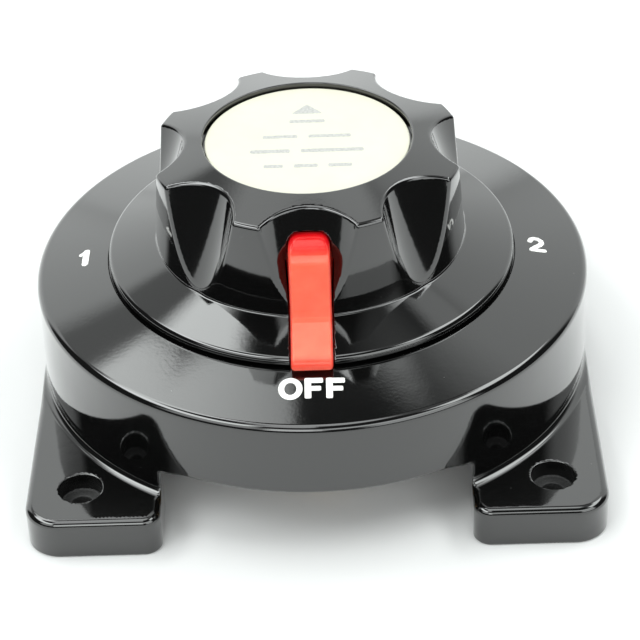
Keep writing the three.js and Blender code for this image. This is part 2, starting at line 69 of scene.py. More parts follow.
cam_data = bpy.data.cameras.new("camera")
cam = bpy.data.objects.new("camera", cam_data)
scene.collection.objects.link(cam)
cr, cu, cf, cp = camera_axes()
m = Matrix.Identity(4)
for i in range(3):
    m[i][0], m[i][1], m[i][2], m[i][3] = cr[i], cu[i], -cf[i], cp[i] * MM
cam.matrix_world = m
cam_data.sensor_fit = "HORIZONTAL"
cam_data.sensor_width = 36.0
cam_data.lens = FOCAL / 640 * 36.0
cam_data.clip_start = 0.01
cam_data.clip_end = 20
scene.camera = cam

# ------------------------------------------------- distance-field modelling
# A shape is a function of x, y, z in millimetres, negative inside. nets() lays
# a grid of its own spacing over it, takes one point in each cell that the
# surface crosses, moves the points onto the surface and joins them with quads.


def cap(a, b, r):      # both, with the outer edge rounded to r
    return np.minimum(-r, np.maximum(a, b)) + np.hypot(np.maximum(a + r, 0), np.maximum(b + r, 0))


def join(a, b, r):     # either, with the inner corner filled to r
    return np.maximum(r, np.minimum(a, b)) - np.hypot(np.maximum(r - a, 0), np.maximum(r - b, 0))


def cut(a, b, r):
    return cap(a, -b, r)


def smooth(x, lo, hi):
    t = np.clip((x - lo) / (hi - lo), 0, 1)
    return t * t * (3 - 2 * t)


def rbox2(px, py, bx, by, r):
    qx, qy = np.abs(px) - bx + r, np.abs(py) - by + r
    return np.hypot(np.maximum(qx, 0), np.maximum(qy, 0)) + np.minimum(np.maximum(qx, qy), 0) - r


def poly(points, x, y):   # exact distance to a closed polygon
    p = [np.array(q, float) for q in points]
    d = (x - p[0][0]) ** 2 + (y - p[0][1]) ** 2
    inside = np.zeros(np.shape(x), bool)
    for i in range(len(p)):
        a, b = p[i], p[i - 1]
        ex, ey = b - a
        wx, wy = x - a[0], y - a[1]
        t = np.clip((wx * ex + wy * ey) / (ex * ex + ey * ey), 0, 1)
        d = np.minimum(d, (wx - ex * t) ** 2 + (wy - ey * t) ** 2)
        c = (y >= a[1]) != (y >= b[1])
        side = ex * wy > ey * wx if ey > 0 else ex * wy < ey * wx
        inside ^= c & side
    return np.where(inside, -1, 1) * np.sqrt(d)


def lines(*runs):
    """Grid lines: (start, end, step) runs laid end to end."""
    out = [runs[0][0]]
    for a, b, s in runs:
        n = max(1, int(round((b - a) / s)))
        out += [a + (b - a) * (i + 1) / n for i in range(n)]
    return np.array(out)


def polar(a, b, c):
    return a * np.cos(b), a * np.sin(b), c


def straight(a, b, c):
    return a, b, c


def nets(f, A, B, C, place=polar, wrap=True, steps=5, reach=0.4):
    na, nb, nc = len(A), len(B), len(C)
    F = np.empty((na, nb, nc), np.float32)
    chunk = max(1, int(1_500_000 / (na * nc)))
    for j in range(0, nb, chunk):
        b = B[j:j + chunk]
        g = np.broadcast_arrays(A[:, None, None], b[None, :, None], C[None, None, :])
        F[:, j:j + chunk] = f(*place(*g))
    S = F < 0
    axis_solid = wrap and A[0] == 0
    assert not ((S[0].any() and not axis_solid) or S[-1].any() or S[:, :, 0].any() or S[:, :, -1].any()), "the shape leaves its grid"
    nj = nb if wrap else nb - 1
    if not wrap:
        assert not (S[:, 0].any() or S[:, -1].any()), "the shape leaves its grid"
    cells = (na - 1) * nj * (nc - 1)

    def cid(i, j, k):
        return (i * nj + (j % nj)) * (nc - 1) + k

    total = np.zeros((4, cells))
    quads = []
    for axis in range(3):
        if axis == 0:
            S0, S1, F0, F1 = S[:-1], S[1:], F[:-1], F[1:]
        elif axis == 1:
            if wrap:
                S0, S1, F0, F1 = S, np.roll(S, -1, 1), F, np.roll(F, -1, 1)
            else:
                S0, S1, F0, F1 = S[:, :-1], S[:, 1:], F[:, :-1], F[:, 1:]
        else:
            S0, S1, F0, F1 = S[:, :, :-1], S[:, :, 1:], F[:, :, :-1], F[:, :, 1:]
        i, j, k = np.nonzero(S0 != S1)
        if axis_solid and axis == 2:
            for up in k[(i == 0) & (j == 0)]:
                loop = cid(0, np.arange(nj), up)
                if not S0[0, 0, up]:
                    loop = loop[::-1]
                n = np.arange(nj // 2 - 1)
                quads.append(np.stack([loop[n], loop[n + 1], loop[nj - 2 - n], loop[nj - 1 - n]], 1))
            off = i > 0
            i, j, k = i[off], j[off], k[off]
        a, b = F0[i, j, k].astype(float), F1[i, j, k].astype(float)
        t = a / (a - b)
        out = S0[i, j, k]
        others = [(1, 2), (2, 0), (0, 1)][axis]
        offsets = [(-1, -1), (0, -1), (0, 0), (-1, 0)]
        loop = []
        for u, v in offsets:
            d = [0, 0, 0]
            d[others[0]], d[others[1]] = u, v
            rel = [-float(q) for q in d]
            c = cid(i + d[0], j + d[1], k + d[2])
            parts = [np.full(len(i), r) for r in rel]
            parts[axis] = parts[axis] + t
            for n in range(3):
                total[n] += np.bincount(c, parts[n], cells)
            total[3] += np.bincount(c, minlength=cells)
            loop.append(c)
        q = np.stack(loop, 1)
        q[~out] = q[~out][:, ::-1]
        quads.append(q)
    quads = np.concatenate(quads)
    used = np.nonzero(total[3] > 0)[0]
    index = np.full(cells, -1)
    index[used] = np.arange(len(used))
    quads = index[quads]
    k = used % (nc - 1)
    j = (used // (nc - 1)) % nj
    i = used // ((nc - 1) * nj)
    rel = total[:3, used] / total[3, used]
    dB = np.diff(np.append(B, B[0] + 2 * math.pi)) if wrap else np.diff(B)
    a = A[i] + rel[0] * np.diff(A)[i]
    b = B[j] + rel[1] * dB[j]
    c = C[k] + rel[2] * np.diff(C)[k]
    P = np.stack(place(a, b, c), 1)
    h = 0.01

    def gradient(P):
        g = []
        for n in range(3):
            e = np.zeros(3)
            e[n] = h
            g.append((f(*(P + e).T) - f(*(P - e).T)) / (2 * h))
        return np.stack(g, 1)

    start = P.copy()
    for _ in range(steps):
        g = gradient(P)
        v = f(*P.T)
        s = -(v / np.maximum((g * g).sum(1), 0.05))[:, None] * g
        n = np.linalg.norm(s, axis=1, keepdims=True)
        P = P + s * np.minimum(1, reach / np.maximum(n, 1e-9))
    far = np.linalg.norm(P - start, axis=1) > 1.6
    P[far] = start[far]
    g = gradient(P)
    N = g / np.maximum(np.linalg.norm(g, axis=1, keepdims=True), 1e-9)
    return P, quads, N


def mesh_object(name, P, quads, N=None, smooth_shade=True):
    """A mesh object in metres from points in millimetres and quads."""
    mesh = bpy.data.meshes.new(name)
    mesh.vertices.add(len(P))
    mesh.vertices.foreach_set("co", (np.asarray(P) * MM).astype(np.float32).ravel())
    mesh.loops.add(quads.size)
    mesh.loops.foreach_set("vertex_index", quads.astype(np.int32).ravel())
    mesh.polygons.add(len(quads))
    mesh.polygons.foreach_set("loop_start", (np.arange(len(quads)) * quads.shape[1]).astype(np.int32))
    mesh.update(calc_edges=True)
    mesh.validate()
    mesh.polygons.foreach_set("use_smooth", np.full(len(mesh.polygons), smooth_shade))
    if N is not None and len(mesh.vertices) == len(P):
        mesh.normals_split_custom_set_from_vertices([tuple(v) for v in N.tolist()])
    ob = bpy.data.objects.new(name, mesh)
    scene.collection.objects.link(ob)
    return ob


def piece(name, body, material, node, data):
    ob = mesh_object(name, *data)
    ob.data.materials.append(material)
    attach(ob, body)
    if node:
        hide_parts(*([node] if isinstance(node, str) else node))
    return ob


# --------------------------------------------------------------- materials
def tree_of(name):
    mat = bpy.data.materials.new(name)
    mat.use_nodes = True
    nt = mat.node_tree
    for n in list(nt.nodes):
        nt.nodes.remove(n)
    out = nt.nodes.new("ShaderNodeOutputMaterial")
    bsdf = nt.nodes.new("ShaderNodeBsdfPrincipled")
    nt.links.new(bsdf.outputs["BSDF"], out.inputs["Surface"])
    coord = nt.nodes.new("ShaderNodeTexCoord")
    scale = nt.nodes.new("ShaderNodeVectorMath")
    scale.operation = "MULTIPLY"
    scale.inputs[1].default_value = (1000, 1000, 1000)     # coordinates in millimetres
    nt.links.new(coord.outputs["Object"], scale.inputs[0])
    return mat, nt, bsdf, scale.outputs[0]


def math_node(nt, op, a, b=None, clamp=False):
    n = nt.nodes.new("ShaderNodeMath")
    n.operation = op
    n.use_clamp = clamp
    for i, v in enumerate((a, b)):
        if v is None:
            continue
        if isinstance(v, (int, float)):
            n.inputs[i].default_value = v
        else:
            nt.links.new(v, n.inputs[i])
    return n.outputs[0]


def noise(nt, vec, scale, detail=2.0, rough=0.5, dist=0.0):
    n = nt.nodes.new("ShaderNodeTexNoise")
    n.inputs["Scale"].default_value = scale
    n.inputs["Detail"].default_value = detail
    n.inputs["Roughness"].default_value = rough
    n.inputs["Distortion"].default_value = dist
    nt.links.new(vec, n.inputs["Vector"])
    return n.outputs["Fac"]


def stretched(nt, vec, sx, sy, sz):
    n = nt.nodes.new("ShaderNodeVectorMath")
    n.operation = "MULTIPLY"
    n.inputs[1].default_value = (sx, sy, sz)
    nt.links.new(vec, n.inputs[0])
    return n.outputs[0]


def ramp(nt, fac, stops):
    n = nt.nodes.new("ShaderNodeValToRGB")
    el = n.color_ramp.elements
    while len(el) < len(stops):
        el.new(0.5)
    for e, (p, c) in zip(el, stops):
        e.position = p
        e.color = c if len(c) == 4 else (*c, 1)
    nt.links.new(fac, n.inputs["Fac"])
    return n.outputs["Color"]


def grey(v):
    return (v, v, v)


def mixed(nt, fac, a, b):
    n = nt.nodes.new("ShaderNodeMix")
    n.data_type = "RGBA"
    nt.links.new(fac, n.inputs["Factor"])
    for key, v in (("A", a), ("B", b)):
        s = [x for x in n.inputs if x.name == key and x.type == "RGBA"][0]
        if isinstance(v, tuple):
            s.default_value = (*v, 1) if len(v) == 3 else v
        else:
            nt.links.new(v, s)
    return [o for o in n.outputs if o.type == "RGBA"][0]


def bump(nt, bsdf, height, distance, strength=1.0, chain=None):
    n = nt.nodes.new("ShaderNodeBump")
    n.inputs["Strength"].default_value = strength
    n.inputs["Distance"].default_value = distance * MM
    nt.links.new(height, n.inputs["Height"])
    if chain is not None:
        nt.links.new(chain, n.inputs["Normal"])
    nt.links.new(n.outputs["Normal"], bsdf.inputs["Normal"])
    return n.outputs["Normal"]


def phenolic(name, base=0.0022, rough=0.055, sockets=False):
    """Black moulded phenolic, polished: soft haze under a clear gloss, dust, fine draw lines."""
    mat, nt, bsdf, mm = tree_of(name)
    cloud = noise(nt, mm, 0.045, 4, 0.6)
    fine = noise(nt, mm, 1.6, 3, 0.6)
    dust = nt.nodes.new("ShaderNodeTexVoronoi")
    dust.inputs["Scale"].default_value = 0.34
    nt.links.new(mm, dust.inputs["Vector"])
    speck = math_node(nt, "LESS_THAN", dust.outputs["Distance"], 0.034)
    rare = math_node(nt, "GREATER_THAN", noise(nt, mm, 0.11, 2), 0.55)
    speck = math_node(nt, "MULTIPLY", speck, rare)
    tone = ramp(nt, cloud, [(0.3, grey(base * 0.7)), (0.7, (base * 1.25, base * 1.3, base * 1.25))])
    nt.links.new(mixed(nt, speck, tone, (0.10, 0.10, 0.095)), bsdf.inputs["Base Color"])
    r = math_node(nt, "MULTIPLY_ADD", fine, 0.03)
    r.node.inputs[2].default_value = rough - 0.015
    haze = math_node(nt, "MULTIPLY_ADD", cloud, 0.06)
    haze.node.inputs[2].default_value = -0.03
    r = math_node(nt, "ADD", r, haze)
    r = math_node(nt, "ADD", r, math_node(nt, "MULTIPLY", speck, 0.4), clamp=True)
    if sockets:
        sep = nt.nodes.new("ShaderNodeSeparateXYZ")
        nt.links.new(mm, sep.inputs[0])
        hx = math_node(nt, "SUBTRACT", math_node(nt, "ABSOLUTE", sep.outputs[0]), 54.55)
        hy = math_node(nt, "SUBTRACT", math_node(nt, "ABSOLUTE", sep.outputs[1]), 54.55)
        far = math_node(nt, "SQRT", math_node(nt, "ADD", math_node(nt, "MULTIPLY", hx, hx), math_node(nt, "MULTIPLY", hy, hy)))
        worn = math_node(nt, "MULTIPLY", math_node(nt, "LESS_THAN", far, 4.95), math_node(nt, "LESS_THAN", sep.outputs[2], 6.6))
        wall_ = math_node(nt, "MULTIPLY", math_node(nt, "LESS_THAN", far, 5.2), math_node(nt, "LESS_THAN", sep.outputs[2], 9.7))
        r = math_node(nt, "ADD", r, math_node(nt, "MULTIPLY", worn, 0.42), clamp=True)
        r = math_node(nt, "ADD", r, math_node(nt, "MULTIPLY", wall_, 0.22), clamp=True)
        grit = ramp(nt, noise(nt, mm, 3.0, 3, 0.7), [(0.35, grey(0.006)), (0.7, grey(0.045))])
        nt.links.new(mixed(nt, worn, bsdf.inputs["Base Color"].links[0].from_socket, grit), bsdf.inputs["Base Color"])
        nt.links.new(math_node(nt, "SUBTRACT", 1.0, wall_), bsdf.inputs["Coat Weight"])
    nt.links.new(r, bsdf.inputs["Roughness"])
    bsdf.inputs["Metallic"].default_value = 0.0
    bsdf.inputs["IOR"].default_value = 1.6
    lines_ = noise(nt, stretched(nt, mm, 1.0, 1.0, 0.12), 1.3, 2, 0.5)
    first = bump(nt, bsdf, lines_, 0.010, 0.5)
    bump(nt, bsdf, noise(nt, mm, 0.35, 2, 0.5), 0.02, 0.35, first)
    # the gloss: a clear skin that follows slow ripples of the moulding
    if not sockets:
        bsdf.inputs["Coat Weight"].default_value = 1.0
    bsdf.inputs["Coat IOR"].default_value = 1.5
    bsdf.inputs["Coat Roughness"].default_value = 0.065
    n = nt.nodes.new("ShaderNodeBump")
    n.inputs["Strength"].default_value = 0.25
    n.inputs["Distance"].default_value = 0.02 * MM
    nt.links.new(math_node(nt, "ADD", noise(nt, mm, 0.22, 2, 0.5), math_node(nt, "MULTIPLY", noise(nt, mm, 1.3, 3, 0.6), 0.22)), n.inputs["Height"])
    nt.links.new(n.outputs["Normal"], bsdf.inputs["Coat Normal"])
    return mat


def red_plastic():
    mat, nt, bsdf, mm = tree_of("red_plastic")
    # salmon red: painted light for the lit face of the bar
    tone = ramp(nt, noise(nt, mm, 0.25, 3), [(0.3, (0.90, 0.135, 0.078)), (0.7, (0.93, 0.16, 0.095))])
    # deep red: painted shade for the top, the sides and the tip of the bar
    painted_shade_red = ramp(nt, noise(nt, mm, 0.25, 3), [(0.3, (0.64, 0.003, 0.007)), (0.7, (0.72, 0.008, 0.012))])
    # painted light and painted shade: the base colour is mixed by position, deep red at the top, the sides and the tip
    # of the bar and salmon red on its face, standing in for how the light falls
    sep = nt.nodes.new("ShaderNodeSeparateXYZ")
    nt.links.new(mm, sep.inputs[0])
    top_shade_mask = nt.nodes.new("ShaderNodeMapRange")
    top_shade_mask.interpolation_type = "SMOOTHSTEP"
    top_shade_mask.inputs["From Min"].default_value = 58.6
    top_shade_mask.inputs["From Max"].default_value = 62.2
    nt.links.new(sep.outputs[2], top_shade_mask.inputs["Value"])
    side_shade_mask = nt.nodes.new("ShaderNodeMapRange")
    side_shade_mask.interpolation_type = "SMOOTHSTEP"
    side_shade_mask.inputs["From Min"].default_value = 4.0
    side_shade_mask.inputs["From Max"].default_value = 4.9
    nt.links.new(math_node(nt, "ABSOLUTE", sep.outputs[0]), side_shade_mask.inputs["Value"])
    tip_shade_mask = nt.nodes.new("ShaderNodeMapRange")
    tip_shade_mask.interpolation_type = "SMOOTHSTEP"
    tip_shade_mask.inputs["From Min"].default_value = 48.6
    tip_shade_mask.inputs["From Max"].default_value = 50.6
    nt.links.new(math_node(nt, "MULTIPLY", sep.outputs[1], -1.0), tip_shade_mask.inputs["Value"])
    # painted shade mask: full at the top, 0.8 at the sides, 0.45 at the tip
    depth = math_node(nt, "MAXIMUM", top_shade_mask.outputs["Result"], math_node(nt, "MULTIPLY", side_shade_mask.outputs["Result"], 0.8))
    depth = math_node(nt, "MAXIMUM", depth, math_node(nt, "MULTIPLY", tip_shade_mask.outputs["Result"], 0.45))
    nt.links.new(mixed(nt, depth, tone, painted_shade_red), bsdf.inputs["Base Color"])
    r = math_node(nt, "MULTIPLY_ADD", noise(nt, mm, 2.5, 2), 0.06)
    r.node.inputs[2].default_value = 0.17
    nt.links.new(r, bsdf.inputs["Roughness"])
    bsdf.inputs["IOR"].default_value = 1.5
    bsdf.inputs["Specular Tint"].default_value = (1.0, 0.86, 0.72, 1)
    bsdf.inputs["Subsurface Weight"].default_value = 0.35
    bsdf.inputs["Subsurface Radius"].default_value = (1.0, 0.12, 0.06)
    bsdf.inputs["Subsurface Scale"].default_value = 0.002
    first = bump(nt, bsdf, noise(nt, stretched(nt, mm, 1.5, 0.3, 0.25), 1.4, 2), 0.012, 0.5)
    bump(nt, bsdf, noise(nt, mm, 6.0, 2), 0.004, 0.35, first)
    return mat


def ivory_film():
    mat, nt, bsdf, mm = tree_of("ivory_film")
    tone = ramp(nt, noise(nt, mm, 0.08, 4, 0.6), [(0.3, (0.62, 0.605, 0.50)), (0.7, (0.66, 0.65, 0.54))])
    nt.links.new(tone, bsdf.inputs["Base Color"])
    r = math_node(nt, "MULTIPLY_ADD", noise(nt, mm, 1.2, 3), 0.12)
    r.node.inputs[2].default_value = 0.42
    nt.links.new(r, bsdf.inputs["Roughness"])
    bump(nt, bsdf, noise(nt, mm, 4.0, 3, 0.6), 0.006, 0.4)
    return mat


def ink(name, a, b, rough=0.55):
    mat, nt, bsdf, mm = tree_of(name)
    nt.links.new(ramp(nt, noise(nt, mm, 1.8, 4, 0.65), [(0.35, a), (0.65, b)]), bsdf.inputs["Base Color"])
    r = math_node(nt, "MULTIPLY_ADD", noise(nt, mm, 3.0, 2), 0.1)
    r.node.inputs[2].default_value = rough - 0.05
    nt.links.new(r, bsdf.inputs["Roughness"])
    bump(nt, bsdf, noise(nt, mm, 5.0, 3), 0.01, 0.4)
    return mat


def metal(name, a, b, rough, turning=True, brushed=0.5):
    """Machined or plated metal with turning marks and slight tarnish."""
    mat, nt, bsdf, mm = tree_of(name)
    patch = noise(nt, mm, 0.35, 4, 0.65)
    nt.links.new(ramp(nt, patch, [(0.3, a), (0.7, b)]), bsdf.inputs["Base Color"])
    bsdf.inputs["Metallic"].default_value = 1.0
    r = math_node(nt, "MULTIPLY_ADD", patch, 0.18)
    r.node.inputs[2].default_value = rough - 0.09
    nt.links.new(r, bsdf.inputs["Roughness"])
    grain = noise(nt, stretched(nt, mm, *((0.4, 0.4, 6.0) if turning else (2.0, 2.0, 2.0))), 2.0, 2)
    bump(nt, bsdf, grain, 0.01, brushed)
    return mat


def laminate():
    mat, nt, bsdf, mm = tree_of("dark_laminate")
    fibre = noise(nt, stretched(nt, mm, 0.5, 4.0, 1.0), 1.2, 4, 0.6)
    nt.links.new(ramp(nt, fibre, [(0.3, (0.022, 0.013, 0.008)), (0.7, (0.055, 0.032, 0.018))]), bsdf.inputs["Base Color"])
    r = math_node(nt, "MULTIPLY_ADD", fibre, 0.2)
    r.node.inputs[2].default_value = 0.38
    nt.links.new(r, bsdf.inputs["Roughness"])
    bump(nt, bsdf, fibre, 0.03, 0.4)
    return mat


def rubber():
    mat, nt, bsdf, mm = tree_of("black_rubber")
    n1 = noise(nt, mm, 2.0, 4)
    nt.links.new(ramp(nt, n1, [(0.3, grey(0.012)), (0.7, grey(0.03))]), bsdf.inputs["Base Color"])
    r = math_node(nt, "MULTIPLY_ADD", n1, 0.15)
    r.node.inputs[2].default_value = 0.65
    nt.links.new(r, bsdf.inputs["Roughness"])
    bump(nt, bsdf, n1, 0.03, 0.4)
    return mat


BLACK_CASE = phenolic("phenolic_case", sockets=True)
BLACK_KNOB = phenolic("phenolic_knob", 0.0020, 0.05)
RED = red_plastic()
IVORY = ivory_film()
WHITE_INK = ink("white_fill", (0.86, 0.86, 0.83), (0.95, 0.95, 0.93))
GREY_INK = ink("grey_print", (0.36, 0.36, 0.35), (0.52, 0.52, 0.50), 0.6)
BRASS = metal("machined_brass", (0.62, 0.40, 0.14), (0.80, 0.57, 0.24), 0.30)
COPPER = metal("machined_copper", (0.60, 0.26, 0.13), (0.80, 0.42, 0.24), 0.32)
STEEL = metal("zinc_plate", (0.50, 0.50, 0.49), (0.68, 0.68, 0.67), 0.32)
SPRING = metal("spring_steel", (0.36, 0.36, 0.36), (0.55, 0.55, 0.54), 0.35, False)
LAMINATE = laminate()
RUBBER = rubber()
BY_SLOT = {"case_phenolic": BLACK_CASE, "knob_phenolic": BLACK_KNOB, "pointer_red": RED, "label_ivory": IVORY,
           "laminate": LAMINATE, "brass": BRASS, "copper": COPPER, "plated_steel": STEEL, "spring_steel": SPRING, "rubber": RUBBER}

# ------------------------------------------------------------------- sizes
RING_SLOPE = 0.18


def ring_z(r):                       # sloping top of the case
    return 35.8 + (65.0 - r) * RING_SLOPE


# -------------------------------------------------------------------- case
def foot_plan(ax, ay):
    px = ax - 51.35
    r = np.where(px > 0, 8.0, 4.0)
    qx, qy = np.abs(px) - 15.65 + r, ay - 67.0 + r
    return np.minimum(np.maximum(qx, qy), 0) + np.hypot(np.maximum(qx, 0), np.maximum(qy, 0)) - r


def case_field(x, y, z):
    r = np.hypot(x, y)
    ax, ay = np.abs(x), np.abs(y)
    # drum wall, sloping ring, flat deck under the knob
    wall = r - (66.85 + (33.75 - z) * 0.007)
    top = cut((z - ring_z(r)) * 0.984, np.maximum(r - 49.25, 38.25 - z), 0.22)
    drum = cap(wall, top, 1.55)
    # flanges: one slab joined to the drum by a fillet, then cut to the two plans
    slab = join(drum, z - 10.1, 1.9)
    plan = foot_plan(ax, ay)
    keep = join(plan, 17.2 - 1.3 * smooth(ax, 29.0, 35.4) - z, 0.5)
    edge = 0.55 + 1.15 * smooth(r, 67.6, 70.5)
    body = cap(slab, keep, edge)
    body = cap(body, -z, 0.5)
    # pocket for the board, chamber over it with bosses and stiffening ribs
    px, py = ax - 36.77, ay - 36.77
    a = np.arctan2(y, x)
    q = a - np.round((a - math.pi / 8) / (math.pi / 4)) * (math.pi / 4) - math.pi / 8
    can = join(cap(r - 58.0, z - 33.5, 0.8), cap(r - 61.8, z - 23.8, 0.3), 0.05)
    boss = np.maximum(np.hypot(px, py) - 4.6, 23.8 - z)
    arm = np.maximum(np.maximum(np.abs(ax - ay) * 0.7071 - 2.2, 52.0 - r), 23.8 - z)
    det = cap(np.hypot(x, y - 35.5) - 5.4, 25.2 - z, 0.4)
    darm = np.maximum(np.maximum(np.abs(x) - 1.6, 27.0 - z), 35.5 - y)
    rib = np.maximum(np.maximum(r * np.abs(np.sin(q)) - 1.2, 32.0 - r), 29.2 - z)
    fill = np.minimum(np.minimum(np.minimum(boss, arm), np.minimum(det, darm)), rib)
    can = cut(can, fill, 0.4)
    body = cut(body, can, 0.3)
    # bores
    body = cut(body, np.maximum(np.hypot(px, py) - 2.2, z - 32), 0.2)
    body = cut(body, np.maximum(np.hypot(x, y - 35.5) - 3.3, 27.2 - z), 0.2)
    body = cut(body, r - 8.3, 0.4)
    hx, hy = ax - 54.55, ay - 54.55
    h = np.hypot(hx, hy)
    hole = join(h - 2.45, cap(h - 5.0, 5.6 - z, 0.4), 0.3)
    return cut(body, hole, 0.35)


def case_data():
    d = math.radians
    th = []
    half = lines((d(0), d(8), d(0.9)), (d(8), d(64), d(0.45)), (d(64), d(90), d(0.93)))
    for q in range(4):
        th += list(d(90 * q) + (half if q % 2 == 0 else d(90) - half[::-1])[:-1])
    A = lines((7.4, 9.4, 0.4), (9.4, 30.0, 2.3), (30.0, 33.0, 0.75), (33.0, 48.2, 1.2), (48.2, 50.0, 0.18), (50.0, 57.4, 0.9),
              (57.4, 58.6, 0.3), (58.6, 61.4, 0.7), (61.4, 62.2, 0.2), (62.2, 63.0, 0.4), (63.0, 69.4, 0.4), (69.4, 95.2, 0.55))
    C = lines((-0.3, 0.9, 0.3), (0.9, 5.1, 1.4), (5.1, 6.3, 0.4), (6.3, 8.1, 0.6), (8.1, 12.6, 0.38), (12.6, 16.2, 1.2), (16.2, 19.0, 0.35),
              (19.0, 23.4, 1.1), (23.4, 25.8, 0.4), (25.8, 31.0, 1.3), (31.0, 33.9, 0.58), (33.9, 36.4, 0.28), (36.4, 37.4, 0.33), (37.4, 39.0, 0.16))
    return nets(case_field, A, np.array(th), C)


# -------------------------------------------------------------------- knob
def knob_field(x, y, z):
    r = np.hypot(x, y)
    skirt_top = (z - (41.1 + (48.9 - r) * 0.2946)) * 0.959
    skirt = cap(r - 49.0, skirt_top, 0.9)
    skirt = np.maximum(skirt, z - 46.0)
    wall = r - (37.25 - (z - 44.4) * 0.0129)
    top = (z - (67.8 + (36.3 - r) * 0.1956)) * 0.981
    grip = cap(wall, top, 0.9)
    # eight flutes: round in plan, the centre leaning out towards the base
    a = np.arctan2(x, -y)
    q = a - np.round(a / (math.pi / 4)) * (math.pi / 4)
    u, v = r * np.cos(q), r * np.sin(q)
    c = 43.4 + (67.8 - z) / 3.0
    flute = (np.hypot(u - c, v) - 13.8) * 0.962
    grip = cut(grip, flute, 0.55)
    body = join(grip, skirt, 0.4)
    # recess for the label, screw counterbore, clearance and shaft bores
    body = cut(body, np.maximum(r - 24.7, 67.7 - z), 0.35)
    body = cut(body, np.maximum(r - 6.3, 62.9 - z), 0.3)
    body = cut(body, r - 2.8, 0.1)
    dd = np.where(z > 46.2, np.maximum(r - 5.3, np.abs(x) - 4.3), r - 5.3)
    body = cut(body, np.maximum(dd, z - 60.4), 0.1)
    # hollow round the hub, with four webs
    hollow = np.maximum(np.maximum(11.5 - r, r - 24.0), z - 61.5)
    w = a - np.round((a - math.pi / 4) / (math.pi / 2)) * (math.pi / 2) - math.pi / 4
    web = np.maximum(r * np.abs(np.sin(w)) - 1.5, 40.0 - z)
    hollow = cut(hollow, web, 0.5)
    body = cut(body, hollow, 0.4)
    # detent dimples under the skirt
    b = a - np.round(a / (math.pi / 2)) * (math.pi / 2)
    body = cut(body, np.sqrt((r * np.cos(b) - 35.5) ** 2 + (r * np.sin(b)) ** 2 + (z - 36.7) ** 2) - 3.3, 0.1)
    # slot for the pointer: narrow through the skirt, wide in the flute
    ax = np.abs(x)
    low = np.maximum(rbox2(x, z - 42.0, 5.0, 6.0, 0.4), 40.4 + y)
    high = np.maximum(np.maximum(rbox2(x, z - 50.0, 5.0 + 0.055 * (z - 47.0), 8.0, 0.4), 30.0 + y), 44.2 - z)
    bar = np.maximum(rbox2(x, z - 52.1, 5.0, 11.7, 2.7), 29.2 + y)
    slot = np.minimum(np.minimum(low, high), bar)
    body = cut(body, slot, 0.2)
    return cap(body, 38.8 + 0.35 * np.maximum(r - 47.2, 0) - z, 0.35)


def knob_data():
    n = 640
    th = np.arange(n) * (2 * math.pi / n)
    A = lines((2.2, 3.4, 0.4), (3.4, 4.6, 0.6), (4.6, 7.0, 0.6), (7.0, 10.6, 1.8), (10.6, 12.4, 0.6), (12.4, 23.0, 2.1), (23.0, 25.8, 0.25),
              (25.8, 29.0, 0.8), (29.0, 39.6, 0.42), (39.6, 47.4, 1.3), (47.4, 49.4, 0.25))
    C = lines((38.4, 39.6, 0.2), (39.6, 40.2, 0.3), (40.2, 46.4, 0.31), (46.4, 58.4, 1.2), (58.4, 61.6, 0.6), (61.6, 64.4, 0.28), (64.4, 66.2, 0.78), (66.2, 70.4, 0.26))
    return nets(knob_field, A, th, C)


# ----------------------------------------------------------------- pointer
def arc(cx, cy, r, a0, a1, n):
    return [(cx + r * math.cos(math.radians(a0 + (a1 - a0) * i / n)), cy + r * math.sin(math.radians(a0 + (a1 - a0) * i / n))) for i in range(n + 1)]


BAR = [(29.6, 40.9), (41.0, 40.9), (41.0, 39.5), (50.9, 39.5)] + arc(48.5, 39.9, 2.4, 0, 58, 8) + [(41.0, 45.6), (40.2, 46.5), (39.6, 47.9), (37.05, 57.5)] + arc(29.69, 55.6, 7.6, 15.5, 84, 12) + [(29.6, 63.2)]
FLANGE = [(30.4, 41.2), (41.3, 41.2), (41.3, 39.8), (47.8, 39.8), (47.8, 40.4), (36.6, 42.2), (34.2, 45.0), (30.9, 58.0), (30.4, 58.0)]


def pointer_field(x, y, z):
    d = -y
    side = np.abs(x) - 4.78
    crown = rbox2(x, z - 42.6, 4.78, 20.7, 2.6)          # the top corners, seen from the front
    bar = cap(poly(BAR, d, z), np.maximum(side, crown), 0.85)
    flange = cap(poly(FLANGE, d, z), np.abs(x) - np.where(z > 44.6, 4.8 + 0.055 * (z - 47.0), 4.85), 0.3)
    return np.minimum(bar, flange)


def pointer_data():
    A = lines((-6.6, -5.2, 0.2), (-5.2, -3.4, 0.2), (-3.4, 3.4, 0.4), (3.4, 5.2, 0.2), (5.2, 6.6, 0.2))
    B = lines((-51.4, -46.6, 0.25), (-46.6, -41.4, 0.5), (-41.4, -39.4, 0.2), (-39.4, -29.0, 0.35))
    C = lines((39.1, 42.4, 0.25), (42.4, 45.4, 0.3), (45.4, 47.2, 0.2), (47.2, 57.6, 0.5), (57.6, 63.6, 0.2))
    return nets(pointer_field, A, B, C, straight, False)


# ---------------------------------------------------------------- lettering
def stroke(pts, w, x, y):
    d = None
    for (x0, y0), (x1, y1) in zip(pts[:-1], pts[1:]):
        ex, ey = x1 - x0, y1 - y0
        wx, wy = x - x0, y - y0
        t = np.clip((wx * ex + wy * ey) / max(ex * ex + ey * ey, 1e-9), 0, 1)
        q = np.hypot(wx - ex * t, wy - ey * t)
        d = q if d is None else np.minimum(d, q)
    return d - w


def oval(cx, cy, rx, ry, n=28):
    return [(cx + rx * math.cos(2 * math.pi * i / n), cy + ry * math.sin(2 * math.pi * i / n)) for i in range(n + 1)]


